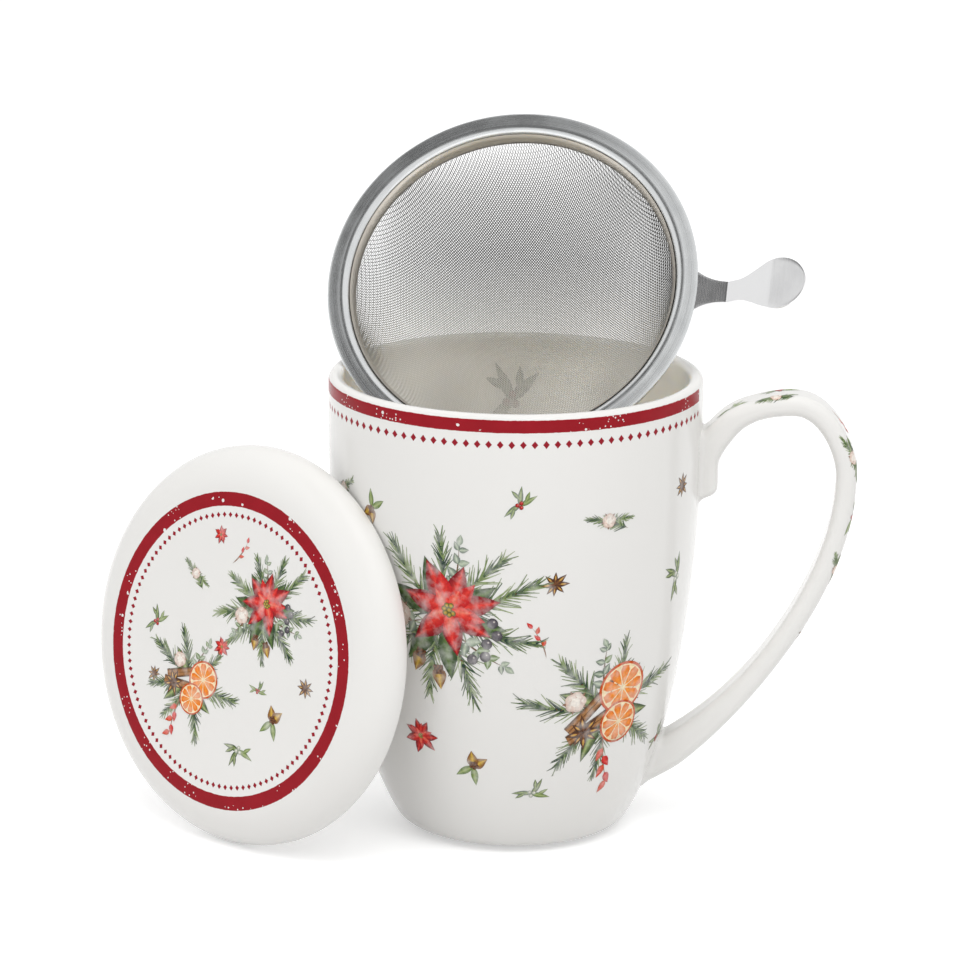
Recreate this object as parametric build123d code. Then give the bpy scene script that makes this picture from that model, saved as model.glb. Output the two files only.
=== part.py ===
from build123d import *
from math import asin, cos, degrees, radians, sin, sqrt
import os

# Lidded tea mug with a lift-out wire infuser, in millimetres, +Z up.
# Origin: the mug's own axis, at the level of the table it stands on. The handle points to +X.
# The lid is off: it stands on its edge on the table and leans on the side of the mug.
# The infuser is tipped forward in the mouth, and its bowl leans on the rim.

# Mug body
mug_height = 109.7
rim_radius = 44.0
mug_wall = 3.4
rim_band_height = 12.0      # straight stretch below the rim
taper_depth = 25.6          # radial half-axis of the wall's elliptical curve
taper_overrun = 4.4         # how far that ellipse would end below the table
foot_radius = 22.6
foot_width = 3.2
foot_height = 0.9
floor_thickness = 5.2
floor_corner_radius = 9.0
foot_edge_radius = 0.4
heel_radius = 4.6

# Handle, with the places of its centre line counted out from the rim's outer radius
handle_thickness = 4.9
handle_width = 10.6
handle_edge_radius = 2.2
root_thickness = 7.6
root_taper_share = 0.14     # share of the arch over which the root thins to the strap
root_stand = 3.9            # how far the upper root stands off the wall
root_drop = 28.4            # foot of the upper root, below the rim
root_foot_slope = 33.0
bend_drop = 21.5            # where it starts to turn away from the wall
throat_out = 5.7
throat_drop = 11.2
throat_angle = 48.0
crown_out = 21.6
crown_drop = 3.2            # outer face at the crown, below the rim
reach_out = 36.3
reach_height = 87.2
knee_out = 20.8
knee_height = 48.15
knee_angle = 58.0
tail_out = -5.1
tail_height = 19.3
tail_angle = 37.0
tail_merge_angle = 28.0     # slope at which the tail runs into the wall
tail_thickness = 9.4        # at the end that is luted on
tail_growth_start = 0.66    # share of the arch where it starts to thicken
tail_embed = 10.5           # length of tail that is cut away by the fitting
strap_stations = 16

# Lid
lid_radius = 47.1
lid_height = 8.6
lid_flat_radius = 36.8
lid_edge_height = 1.2
lid_edge_radius = 0.6
lid_wall = 3.4
locating_depth = 3.0
locating_width = 3.2
locating_clearance = 0.7    # between the locating ring and the infuser's band
locating_edge_radius = 0.9
hollow_corner_radius = 2.5

# Infuser
flange_radius = 44.2
flange_width = 3.4
sheet = 0.5
lip_height = 1.1
bead_height = 0.7
wall_depth = 4.0
band_radius = 37.9
mesh_sheet = 0.45
bowl_depth = 32.0
clamp_clearance = 0.02
grid_across = 12
grid_pitch = 5.95
grid_opening = 4.76
grid_edge_margin = 0.6

# Infuser tab
tab_sheet = 0.8
tab_root_width = 9.4
tab_neck_width = 5.2
tab_neck_reach = 7.3        # reaches are counted from the flange's edge
tab_neck_length = 2.3       # straight part of the neck, past its bend
tab_lobe_reach = 19.8
tab_lobe_radius = 6.4
tab_second_bend_reach = 17.6
tab_first_bend = 30.5
tab_second_bend = 15.0
tab_bend_radius = 1.2
tab_weld_lap = 2.6
tab_notch_clearance = 0.3
tab_root_flare = 0.7        # slope of the tab's sides where it leaves the flange

# Resting places
rest_gap = 0.3
lid_bearing = 197.3         # where the lid stands, as an angle from the handle
lid_facing = 235.35
lid_lean = 9.7              # how far its face looks up
infuser_bearing = 102.0
infuser_offset = 10.6       # from the mug's axis to the flange's centre
infuser_facing = 263.8
infuser_lean = 36.1

tolerance = 0.01            # for picking edges out by their place
settle_steps = 16
edge_round_limit = 0.44     # largest edge radius, as a share of a strap's thickness
bend_share = 0.8            # outer radius of a sheet's bend, as a share of the sheet

def turned(edges):
    """Solid of revolution about +Z from a closed outline given as (radius, height)."""
    return revolve(Plane.XZ * make_face(edges), Axis.Z)


def rings_at(shape, height, radius=None):
    """Circular edges about the turning axis at a height, or only the one of that radius."""
    found = shape.edges().filter_by(GeomType.CIRCLE)
    found = found.filter_by(lambda edge: abs(edge.center().Z - height) < tolerance)
    if radius is None:
        return found
    return found.filter_by(lambda edge: abs(edge.radius - radius) < tolerance)


def wall_curve(height, inset):
    """The elliptical part of the wall from a height up to the straight band."""
    curve_top = mug_height - rim_band_height
    curve_length = curve_top + taper_overrun
    centre = (rim_radius - inset - taper_depth, curve_top)
    start = -degrees(asin((curve_top - height) / curve_length))
    return EllipticalCenterArc(centre, taper_depth, curve_length, start_angle=start, arc_size=-start)


def outer_edges():
    """Side view of the mug's outside: the curved wall and the straight band over it."""
    curve_top = mug_height - rim_band_height
    return [wall_curve(foot_height, 0),
            Line((rim_radius, curve_top), (rim_radius, mug_height - mug_wall / 2))]


def mouth_edges():
    """Side view of the mouth: the inside wall, its straight band and the half-round lip."""
    curve_top = mug_height - rim_band_height
    lip_base = mug_height - mug_wall / 2
    bore = rim_radius - mug_wall
    lip_crest = (rim_radius - mug_wall / 2, mug_height)
    return [wall_curve(floor_thickness, mug_wall),
            Line((bore, curve_top), (bore, lip_base)),
            ThreePointArc((bore, lip_base), lip_crest, (rim_radius, lip_base))]


def make_mug_body():
    """One revolved wall: foot ring, curved side, half-round lip, hollow and floor."""
    outside = outer_edges()
    mouth = mouth_edges()
    heel = outside[0] @ 0
    floor_edge = mouth[0] @ 0
    foot_bore = foot_radius - foot_width
    base = Polyline(floor_edge, (0, floor_thickness), (0, foot_height), (foot_bore, foot_height),
                    (foot_bore, 0), (foot_radius, 0), (foot_radius, foot_height), heel)
    body = turned([*outside, *mouth, base])
    body = fillet(rings_at(body, floor_thickness, floor_edge.X), floor_corner_radius)
    body = fillet(rings_at(body, foot_height, heel.X), heel_radius)
    return fillet(rings_at(body, 0), foot_edge_radius)


def make_body_envelope():
    """The mug's outer form without its hollow, which the handle is cut to fit."""
    outside = outer_edges()
    heel = outside[0] @ 0
    top = outside[-1] @ 1
    core = Polyline(top, (0, top.Y), (0, foot_height), heel)
    return turned([*outside, core])


def slope(angle):
    """Unit vector of the side view that runs down and inwards at an angle."""
    return Vector(-cos(radians(angle)), -sin(radians(angle)))


def handle_centre_line():
    """Side view of the handle's centre: up the wall, over the crown and down into the tail."""
    half = handle_thickness / 2
    foot = Vector(rim_radius + root_stand - root_thickness / 2, mug_height - root_drop)
    bend = Vector(foot.X, mug_height - bend_drop)
    throat = Vector(rim_radius + throat_out, mug_height - throat_drop)
    crown = Vector(rim_radius + crown_out, mug_height - crown_drop - half)
    reach = Vector(rim_radius + reach_out - half, reach_height)
    knee = Vector(rim_radius + knee_out, knee_height)
    tail = Vector(rim_radius + tail_out, tail_height)
    end = tail + slope(tail_merge_angle) * tail_embed
    tangents = [Vector(0, 1), -slope(throat_angle), Vector(1, 0), Vector(0, -1),
                slope(knee_angle), slope(tail_angle), slope(tail_merge_angle)]
    arch = Spline(bend, throat, crown, reach, knee, tail, end, tangents=tangents)
    return foot, bend, arch


def strap_thickness(share):
    """Thickness along the arch: thickest at both roots, even over the grip."""
    at_root = max(0.0, 1 - share / root_taper_share)
    at_tail = max(0.0, share - tail_growth_start) / (1 - tail_growth_start)
    root_growth = (root_thickness - handle_thickness) * at_root
    tail_growth = (tail_thickness - handle_thickness) * at_tail ** 2
    return handle_thickness + root_growth + tail_growth


def strap_section(point, direction, thickness):
    """Rounded section of the strap, square to its run."""
    at = Plane.XZ.from_local_coords(point)
    run = Plane.XZ.from_local_coords(direction)
    edge = min(handle_edge_radius, handle_thickness * edge_round_limit)
    return Plane(origin=at, x_dir=(0, 1, 0), z_dir=run) * RectangleRounded(handle_width, thickness, edge)


def make_mug_handle():
    """Strap handle lofted along its centre line, thicker towards the tail, fitted to the wall."""
    foot, bend, arch = handle_centre_line()
    foot_normal = Vector(-sin(radians(root_foot_slope)), cos(radians(root_foot_slope)))
    foot_thickness = root_thickness / cos(radians(root_foot_slope))
    sections = [strap_section(foot, foot_normal, foot_thickness),
                strap_section((foot + bend) / 2, Vector(0, 1), root_thickness)]
    for station in range(strap_stations + 1):
        share = station / strap_stations
        sections.append(strap_section(arch @ share, arch % share, strap_thickness(share)))
    return loft(sections) - make_body_envelope()


def make_lid():
    """Porcelain lid, seat plane at z = 0: flat top, wide rounded shoulder, hollow and locating ring."""
    ring_outer = band_radius - locating_clearance
    ring_inner = ring_outer - locating_width
    under_top = lid_height - lid_wall
    shoulder_width = lid_radius - lid_flat_radius
    shoulder_rise = lid_height - lid_edge_height
    shoulder = EllipticalCenterArc((lid_flat_radius, lid_edge_height), shoulder_width, shoulder_rise,
                                   start_angle=0, arc_size=90)
    section = Polyline((lid_flat_radius, lid_height), (0, lid_height), (0, under_top),
                       (ring_inner, under_top), (ring_inner, -locating_depth),
                       (ring_outer, -locating_depth), (ring_outer, 0), (lid_radius, 0),
                       (lid_radius, lid_edge_height))
    lid = turned([shoulder, section])
    lid = fillet(rings_at(lid, -locating_depth), locating_edge_radius)
    lid = fillet(rings_at(lid, 0, lid_radius), lid_edge_radius)
    return fillet(rings_at(lid, under_top, ring_inner), hollow_corner_radius)


def wall_radii():
    """Inner and outer radius of the infuser rim's wall, which holds band and mesh inside it."""
    inner = band_radius + sheet + mesh_sheet + 2 * clamp_clearance
    return inner, inner + sheet


def make_infuser_rim():
    """Pressed flange: turned-down lip, flat seat, raised inner corner and the wall below it."""
    wall_inner, wall_outer = wall_radii()
    flange_inner = flange_radius - flange_width
    step = bead_height
    outline = Polyline((flange_radius, -lip_height), (flange_radius, 0), (flange_inner, 0),
                       (flange_inner, step), (wall_inner, step), (wall_inner, -wall_depth),
                       (wall_outer, -wall_depth), (wall_outer, step - sheet),
                       (flange_inner - sheet, step - sheet), (flange_inner - sheet, -sheet),
                       (flange_radius - sheet, -sheet), (flange_radius - sheet, -lip_height), close=True)
    rim = turned([outline])
    outside_bends = rings_at(rim, 0, flange_radius) + rings_at(rim, step)
    rim = fillet(outside_bends, sheet * bend_share)
    notch_reach = flange_radius + lip_height
    notch = Box(notch_reach, tab_root_width + 2 * tab_notch_clearance, lip_height,
                align=(Align.MIN, Align.CENTER, Align.MAX))
    notch = Pos(flange_radius - 2 * sheet, 0, -sheet) * notch
    return rim - notch


def make_inner_band():
    """Spot-welded band that grips the mesh against the rim's wall."""
    band = Cylinder(band_radius + sheet, wall_depth, align=(Align.CENTER, Align.CENTER, Align.MAX))
    band -= Cylinder(band_radius, wall_depth, align=(Align.CENTER, Align.CENTER, Align.MAX))
    return fillet(rings_at(band, -wall_depth, band_radius), sheet * bend_share)


def bowl_outline():
    """Side view of the bowl's outside, with its radius and the height of its centre."""
    skirt_outer = band_radius + sheet + clamp_clearance + mesh_sheet
    bowl_radius = (skirt_outer ** 2 + bowl_depth ** 2) / (2 * bowl_depth)
    floor = -wall_depth - bowl_depth
    outside = RadiusArc((skirt_outer, -wall_depth), (0, floor), bowl_radius)
    return outside, bowl_radius, floor + bowl_radius


def make_bowl_outside():
    """The outside face of the bowl, which leans on the mug."""
    outside, _, _ = bowl_outline()
    return skin([outside])[0]


def make_grid_prisms(reach):
    """Prisms for a square grid of openings in the bowl, as many whole ones as the reach holds."""
    half = grid_opening / 2
    spots = [spot for spot in GridLocations(grid_pitch, grid_pitch, grid_across, grid_across)
             if Vector(abs(spot.position.X) + half, abs(spot.position.Y) + half).length < reach]
    opening = Box(grid_opening, grid_opening, bowl_depth + mesh_sheet,
                  align=(Align.CENTER, Align.CENTER, Align.MAX))
    return [Pos(0, 0, -wall_depth) * spot * opening for spot in spots]


def make_infuser_mesh():
    """Woven bowl as a thin open grid: a skirt held between band and wall, and a round bottom."""
    outside, bowl_radius, centre_height = bowl_outline()
    skirt_outer = (outside @ 0).X
    skirt_inner = skirt_outer - mesh_sheet
    floor = (outside @ 1).Y
    inner_radius = bowl_radius - mesh_sheet
    inner_start = centre_height - sqrt(inner_radius ** 2 - skirt_inner ** 2)
    inside = RadiusArc((skirt_inner, inner_start), (0, floor + mesh_sheet), inner_radius)
    bowl = turned([outside, inside,
                   Polyline((0, floor), (0, floor + mesh_sheet)),
                   Polyline((skirt_inner, inner_start), (skirt_inner, 0), (skirt_outer, 0),
                            (skirt_outer, -wall_depth))])
    return bowl - make_grid_prisms(skirt_inner - grid_edge_margin)


def tab_planform():
    """Outline of the tab seen along the infuser's axis: wide root, narrow neck and round lobe."""
    root_x = flange_radius - tab_weld_lap
    neck = Vector(flange_radius + tab_neck_reach, tab_neck_width / 2)
    edge = Vector(flange_radius, tab_root_width / 2)
    lobe_x = flange_radius + tab_lobe_reach
    lobe_start = Vector(lobe_x, tab_lobe_radius)
    flank = Spline(edge, neck, neck + Vector(tab_neck_length, 0), lobe_start,
                   tangents=[Vector(1, -tab_root_flare), Vector(1, 0), Vector(1, 0), Vector(1, 0)])
    lobe = ThreePointArc(lobe_start, (lobe_x + tab_lobe_radius, 0), (lobe_x, -tab_lobe_radius))
    root = Polyline((flange_radius, -tab_root_width / 2), (root_x, -tab_root_width / 2),
                    (root_x, tab_root_width / 2), edge)
    return make_face([flank, mirror(flank, Plane.XZ), lobe, root])


def make_infuser_tab():
    """Pressed tab welded under the flange, bent up past the neck and part way back at the lobe."""
    root = Vector(flange_radius - tab_weld_lap, 0)
    first = Vector(flange_radius + tab_neck_reach, 0)
    rise = Vector(cos(radians(tab_first_bend)), sin(radians(tab_first_bend)))
    run = (tab_second_bend_reach - tab_neck_reach) / rise.X
    second = first + rise * run
    end_angle = radians(tab_first_bend - tab_second_bend)
    end = second + Vector(cos(end_angle), sin(end_angle)) * 2 * tab_lobe_radius
    upper = FilletPolyline(root, first, second, end, radius=tab_bend_radius)
    strip = offset(upper, tab_sheet, side=Side.RIGHT)
    strip = Pos(0, 0, -sheet) * extrude(Plane.XZ * make_face(strip), tab_root_width, both=True)
    prism = extrude(Pos(0, 0, -flange_radius) * tab_planform(), 2 * flange_radius)
    return strip & prism


def resting_frame(facing, lean):
    """Plane at the origin whose normal looks to a compass angle and up by the lean."""
    look = Vector(cos(radians(facing)) * cos(radians(lean)),
                  sin(radians(facing)) * cos(radians(lean)),
                  sin(radians(lean)))
    return Plane(origin=(0, 0, 0), x_dir=Vector(0, 0, 1).cross(look), z_dir=look)


def skin(edges):
    """Turned faces of a side view, as the surface that something else rests on."""
    return [Face.revolve(Plane.XZ * edge, 360, Axis.Z) for edge in edges]


def settle(contacts, support, direction):
    """Location that brings the contacts along a direction until they lie at the resting gap."""
    travel = Vector(0, 0, 0)
    for _ in range(settle_steps):
        moved = [Pos(travel) * part for part in contacts]
        spare = min(face.distance_to(part) for face in support for part in moved) - rest_gap
        travel += direction * spare
        if spare < tolerance:
            break
    return Pos(travel)


def place_lid(lid):
    """The lid on its edge on the table, moved in along its bearing until it leans on the mug."""
    bearing = Vector(cos(radians(lid_bearing)), sin(radians(lid_bearing)), 0)
    frame = Pos(bearing * (rim_radius + lid_radius)) * resting_frame(lid_facing, lid_lean).location
    tilted = frame * lid
    on_table = Pos(0, 0, -tilted.bounding_box().min.Z) * tilted
    return settle([on_table], skin(outer_edges()), -bearing) * on_table


def place_infuser(rim, others):
    """The tipped infuser, lowered into the mouth until its bowl leans on the lip."""
    start = Vector(infuser_offset * cos(radians(infuser_bearing)),
                   infuser_offset * sin(radians(infuser_bearing)),
                   mug_height + flange_radius + bowl_depth)
    frame = Pos(start) * resting_frame(infuser_facing, infuser_lean).location
    flange_edges = rim.edges().filter_by(GeomType.CIRCLE)
    flange_edges = flange_edges.filter_by(lambda edge: edge.radius > flange_radius - sheet)
    contacts = [frame * part for part in (make_bowl_outside(), *flange_edges)]
    drop = settle(contacts, skin(mouth_edges()), Vector(0, 0, -1))
    return [drop * frame * piece for piece in (rim, *others)]


def main():
    infuser_parts = [make_inner_band(), make_infuser_mesh(), make_infuser_tab()]
    infuser_rim, inner_band, infuser_mesh, infuser_tab = place_infuser(make_infuser_rim(), infuser_parts)
    nodes = {
        "mug_body": make_mug_body(),
        "mug_handle": make_mug_handle(),
        "lid": place_lid(make_lid()),
        "infuser_rim": infuser_rim,
        "infuser_inner_band": inner_band,
        "infuser_mesh": infuser_mesh,
        "infuser_tab": infuser_tab,
    }
    os.makedirs("parts", exist_ok=True)
    for name, shape in nodes.items():
        export_step(shape, f"parts/{name}.step")
        print(name, round(shape.volume))


main()
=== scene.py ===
import math
import random
from functools import partial
from math import cos, radians, sin, sqrt
import bmesh
import bpy
from mathutils import Matrix, Vector


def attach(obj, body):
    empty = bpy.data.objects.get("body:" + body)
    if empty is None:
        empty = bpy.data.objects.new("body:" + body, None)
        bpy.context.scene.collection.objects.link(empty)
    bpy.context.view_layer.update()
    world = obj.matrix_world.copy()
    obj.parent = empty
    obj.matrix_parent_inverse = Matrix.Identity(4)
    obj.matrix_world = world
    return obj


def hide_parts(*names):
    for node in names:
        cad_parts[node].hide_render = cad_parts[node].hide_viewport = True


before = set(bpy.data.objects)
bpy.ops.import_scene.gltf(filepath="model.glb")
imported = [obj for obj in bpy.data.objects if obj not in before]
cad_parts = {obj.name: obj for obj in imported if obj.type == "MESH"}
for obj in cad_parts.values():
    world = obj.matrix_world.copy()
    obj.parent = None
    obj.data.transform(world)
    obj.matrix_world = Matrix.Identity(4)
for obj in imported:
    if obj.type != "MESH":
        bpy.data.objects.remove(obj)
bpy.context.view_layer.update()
print("frame loaded:", sorted(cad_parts))

mm = 0.001
weld = 1e-6     # points nearer than this, in metres, are one
random.seed(12)


# helpers for meshes

def restingMatrix(spec):
    # local frame of a tipped piece: z is the way it faces, x lies level
    facing, lean = radians(spec["facing"]), radians(spec["lean"])
    look = Vector((cos(facing) * cos(lean), sin(facing) * cos(lean), sin(lean)))
    across = Vector((0, 0, 1)).cross(look).normalized()
    turn = Matrix((across, look.cross(across), look)).transposed().to_4x4()
    return Matrix.Translation(Vector(spec["centre"]) * mm) @ turn


def addObject(name, data):
    thing = bpy.data.objects.new(name, data)
    bpy.context.scene.collection.objects.link(thing)
    return thing


def meshFrom(bm, name, material):
    mesh = bpy.data.meshes.new(name)
    bm.to_mesh(mesh)
    bm.free()
    mesh.materials.append(material)
    return mesh


def finishPiece(bm, name, material, body, sharp, replaced=(), place=None):
    bmesh.ops.remove_doubles(bm, verts=bm.verts, dist=weld)
    bmesh.ops.recalc_face_normals(bm, faces=bm.faces)
    if place is not None:
        bmesh.ops.transform(bm, matrix=place, verts=bm.verts)
    mesh = meshFrom(bm, name, material)
    mesh.shade_smooth()
    mesh.set_sharp_from_angle(angle=radians(sharp))
    piece = addObject(name, mesh)
    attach(piece, body)
    if replaced:
        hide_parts(*replaced)
    return piece


def arcPoints(centre, radii, start, end, count):
    # points of an ellipse's arc, as (radius, height)
    angles = [radians(start + (end - start) * i / count) for i in range(count + 1)]
    return [(centre[0] + radii[0] * cos(a), centre[1] + radii[1] * sin(a)) for a in angles]


def turnProfile(points, steps, rounds, closed=False):
    # spins an outline about the z axis; rounds are (point number, cut back, segments)
    bm = bmesh.new()
    verts = [bm.verts.new((radius * mm, 0, height * mm)) for radius, height in points]
    for pair in zip(verts, verts[1:]):
        bm.edges.new(pair)
    if closed:
        bm.edges.new((verts[-1], verts[0]))
    for number, cut, segments in rounds:
        bmesh.ops.bevel(bm, geom=[verts[number]], offset=cut * mm, offset_type="OFFSET", segments=segments,
                        profile=0.5, affect="VERTICES", material=-1)
    bmesh.ops.spin(bm, geom=bm.verts[:] + bm.edges[:], cent=(0, 0, 0), axis=(0, 0, 1), dvec=(0, 0, 0),
                   angle=math.tau, steps=steps, use_merge=True, use_duplicate=False)
    bmesh.ops.remove_doubles(bm, verts=bm.verts, dist=weld)
    return bm


def skinRings(bm, rings):
    # skin over rings of points, closed at both ends
    bm.faces.new(rings[0])
    for ring, following in zip(rings, rings[1:]):
        for i in range(len(ring)):
            j = (i + 1) % len(ring)
            bm.faces.new((ring[i], ring[j], following[j], following[i]))
    bm.faces.new(rings[-1])


def lastTrue(test, low, high, turns):
    # where a test that holds at the low end stops holding, found by halving
    for _ in range(turns):
        middle = (low + high) / 2
        if test(middle):
            low = middle
        else:
            high = middle
    return low


def hermite(a, b, leave, arrive, t):
    # smooth run from a to b, with the slopes it leaves and arrives by
    return (a * (2 * t ** 3 - 3 * t ** 2 + 1) + leave * (t ** 3 - 2 * t ** 2 + t)
            + b * (-2 * t ** 3 + 3 * t ** 2) + arrive * (t ** 3 - t ** 2))


# forms that pieces share, in millimetres and degrees

mugForm = {"height": 109.7, "rimRadius": 44.0, "wall": 3.4, "bandHeight": 12.0, "taperDepth": 25.6,
           "taperOverrun": 4.4, "taperEnd": 0.999, "footRadius": 22.6, "footWidth": 3.2, "footHeight": 0.9,
           "floor": 5.2, "floorCorner": 9.0, "heel": 4.6, "wallSteps": 46, "steps": 224}
lidForm = {"centre": (-59.604, -18.565, 46.334), "facing": 235.35, "lean": 9.7,
           "radius": 47.1, "height": 8.6, "flatRadius": 36.8, "edgeHeight": 1.2, "wall": 3.4,
           "ringOuter": 37.2, "ringWidth": 3.2, "ringDepth": 3.0, "steps": 224}
infuserForm = {"centre": (-2.204, 10.368, 129.261), "facing": 263.8, "lean": 36.1,
               "flangeRadius": 44.2, "flangeWidth": 3.4, "sheet": 0.5, "lip": 1.1, "fall": 0.3, "crown": 0.1,
               "roll": 1.8, "wallRadius": 38.89, "wallDepth": 4.0, "bandRadius": 37.9, "bandSheet": 0.97,
               "bandTop": 0.8, "bandSlope": 1.3, "bowlDepth": 32.0, "steps": 256}
lidPlace = restingMatrix(lidForm)
infuserPlace = restingMatrix(infuserForm)


def wallRadius(height, inset=0.0):
    # outer radius of the mug's wall at a height, or of its inside with the wall as inset
    top = mugForm["height"] - mugForm["bandHeight"]
    share = min(max((top - height) / (top + mugForm["taperOverrun"]), 0.0), mugForm["taperEnd"])
    return mugForm["rimRadius"] - inset - mugForm["taperDepth"] * (1 - sqrt(1 - share * share))


def wallSlope(height, probe=0.1):
    return (wallRadius(height + probe) - wallRadius(height - probe)) / (2 * probe)


# helpers for materials

class Net:
    # wires a node tree; a value is a number, a colour or the socket that feeds it

    def __init__(self, tree):
        self.nodes, self.links = tree.nodes, tree.links

    def wire(self, node, values):
        for label, value in values.items():
            if isinstance(value, bpy.types.NodeSocket):
                self.links.new(value, node.inputs[label])
            else:
                node.inputs[label].default_value = value
        return node

    def add(self, kind, values=None):
        return self.wire(self.nodes.new("ShaderNode" + kind), values or {})

    def math(self, operation, *values, clamp=False):
        node = self.add("Math", dict(enumerate(values)))
        node.operation, node.use_clamp = operation, clamp
        return node.outputs[0]

    def times(self, first, second):
        return self.math("MULTIPLY", first, second)

    def scaled(self, value, factor, added):
        return self.math("MULTIPLY_ADD", value, factor, added)

    def mix(self, factor, first, second, blend="MIX"):
        node = self.add("Mix")
        node.data_type, node.blend_type = "RGBA", blend
        return self.wire(node, {0: factor, 6: first, 7: second}).outputs[2]

    def noise(self, spot, scale, detail=2):
        return self.add("TexNoise", {"Vector": spot, "Scale": scale, "Detail": detail}).outputs["Fac"]

    def ramp(self, value, start, end, kind="LINEAR"):
        node = self.add("MapRange", {"Value": value, "From Min": start, "From Max": end})
        node.interpolation_type = kind
        return node.outputs["Result"]

    def bump(self, height, strength, distance):
        values = {"Height": height, "Strength": strength, "Distance": distance}
        return self.add("Bump", values).outputs["Normal"]

    def split(self, spot):
        return self.add("SeparateXYZ", {"Vector": spot}).outputs

    def across(self, x, y):
        # distance from the z axis
        squares = [self.math("POWER", part, 2.0) for part in (x, y)]
        return self.math("POWER", self.math("ADD", *squares), 0.5)

    def turned(self, spot, place):
        # the same spot in a tipped piece's own frame
        node = self.add("Mapping")
        node.vector_type = "TEXTURE"
        values = {"Vector": spot, "Location": place.to_translation(), "Rotation": place.to_euler("XYZ")}
        return self.wire(node, values).outputs["Vector"]

    def use(self, group, values):
        node = self.add("Group")
        node.node_tree = group
        return self.wire(node, values).outputs


def newTree(owner, kind):
    # emptied node tree of a material or world, with its output node
    owner.use_nodes = True
    owner.node_tree.nodes.clear()
    net = Net(owner.node_tree)
    return net, net.add("Output" + kind)


def newMaterial(name):
    material = bpy.data.materials.new(name)
    net, end = newTree(material, "Material")
    shader = net.add("BsdfPrincipled")
    net.wire(end, {"Surface": shader.outputs["BSDF"]})
    return material, net, shader, net.add("TexCoord").outputs["Object"]


def newGroup(name, inputs, outputs):
    # inputs have their defaults; spots and normals are vectors, and all else is a number
    tree = bpy.data.node_groups.new(name, "ShaderNodeTree")
    sides = [(label, "INPUT") for label in inputs] + [(label, "OUTPUT") for label in outputs]
    for label, side in sides:
        kind = "NodeSocketVector" if label in ("spot", "normal") else "NodeSocketFloat"
        socket = tree.interface.new_socket(label, in_out=side, socket_type=kind)
        if inputs.get(label) is not None:
            socket.default_value = inputs[label]
    return tree, Net(tree), tree.nodes.new("NodeGroupInput").outputs, tree.nodes.new("NodeGroupOutput")


# porcelain

inkForm = {"wobbleScale": 900, "wobble": 0.00022, "softEdge": 0.00009, "diamondEdge": 9.0,
           "speckSize": 0.24, "speckChance": 0.45,
           "specks": ((520.0, 110.0, 0.6), (1250.0, 150.0, 0.56))}     # scale; scale and start of patches


def inkBorderGroup():
    # red line with splatter marks and a row of diamonds, both along a turned edge
    form = inkForm
    group, net, given, end = newGroup(
        "inkBorder", {"angle": 0, "run": 0, "spot": None, "lineMiddle": 0, "lineWidth": 0, "rowMiddle": 0,
                      "rowCount": 100, "diamondLong": 0, "diamondWide": 0}, ("line", "diamonds", "wear"))
    spot = given["spot"]

    def off(value, middle):
        return net.math("ABSOLUTE", net.math("SUBTRACT", value, middle))

    def half(label):
        return net.times(given[label], 0.5)

    wobble = net.noise(spot, form["wobbleScale"])
    run = net.math("ADD", given["run"], net.scaled(wobble, form["wobble"], -form["wobble"] / 2))
    inside = net.math("SUBTRACT", half("lineWidth"), off(run, given["lineMiddle"]))
    line = net.math("DIVIDE", inside, form["softEdge"], clamp=True)
    specks = []
    for scale, patchScale, patchStart in form["specks"]:
        cells = net.add("TexVoronoi", {"Vector": spot, "Scale": scale}).outputs
        chance = net.add("SeparateColor", {"Color": cells["Color"]}).outputs["Red"]
        speck = net.math("LESS_THAN", cells["Distance"], form["speckSize"])
        for value, limit in ((net.noise(spot, patchScale), patchStart), (chance, form["speckChance"])):
            speck = net.times(speck, net.math("GREATER_THAN", value, limit))
        specks.append(speck)
    turn = net.times(given["angle"], net.math("DIVIDE", given["rowCount"], math.tau))
    sideways = net.math("DIVIDE", off(net.math("FRACT", turn), 0.5), half("diamondWide"))
    lengthways = net.math("DIVIDE", off(run, given["rowMiddle"]), half("diamondLong"))
    reach = net.math("ADD", sideways, lengthways)
    diamonds = net.math("MULTIPLY", net.math("SUBTRACT", 1.0, reach), form["diamondEdge"], clamp=True)
    net.wire(end, {"line": line, "diamonds": diamonds, "wear": net.math("MAXIMUM", *specks)})
    return group


glazeForm = {"toneScale": 22, "rippleScale": 160, "sheen": (0.06, 0.2), "depth": 0.0002}


def glazeGroup():
    # slow drift in tone, and the faint ripple of a fired glaze
    form = glazeForm
    group, net, given, end = newGroup("glaze", {"spot": None, "ripple": 0.12}, ("tone", "sheen", "normal"))
    fine = net.noise(given["spot"], form["rippleScale"])
    net.wire(end, {"tone": net.noise(given["spot"], form["toneScale"], 3),
                   "sheen": net.scaled(fine, *form["sheen"]),
                   "normal": net.bump(fine, given["ripple"], form["depth"])})
    return group


inkBorder = inkBorderGroup()
glaze = glazeGroup()
porcelainLook = {"clay": (0.80, 0.79, 0.77, 1), "clayShade": (0.775, 0.765, 0.74, 1),
                 "ink": (0.34, 0.010, 0.019, 1), "inkDeep": (0.26, 0.007, 0.013, 1),
                 "diamondInk": (0.29, 0.011, 0.022, 1), "inkPools": 260, "ripple": 0.1, "gloss": 0.1,
                 "glazeCoat": 0.52, "coatBlur": 0.14, "glowColour": (1.0, 0.9, 0.75)}


def insideMask(net, spot, border):
    # the wall's inner face, faded in with height
    x, y, z = net.split(spot)
    return net.times(net.ramp(net.across(x, y), *border["innerFace"]), net.ramp(z, *border["fadeIn"]))


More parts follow.
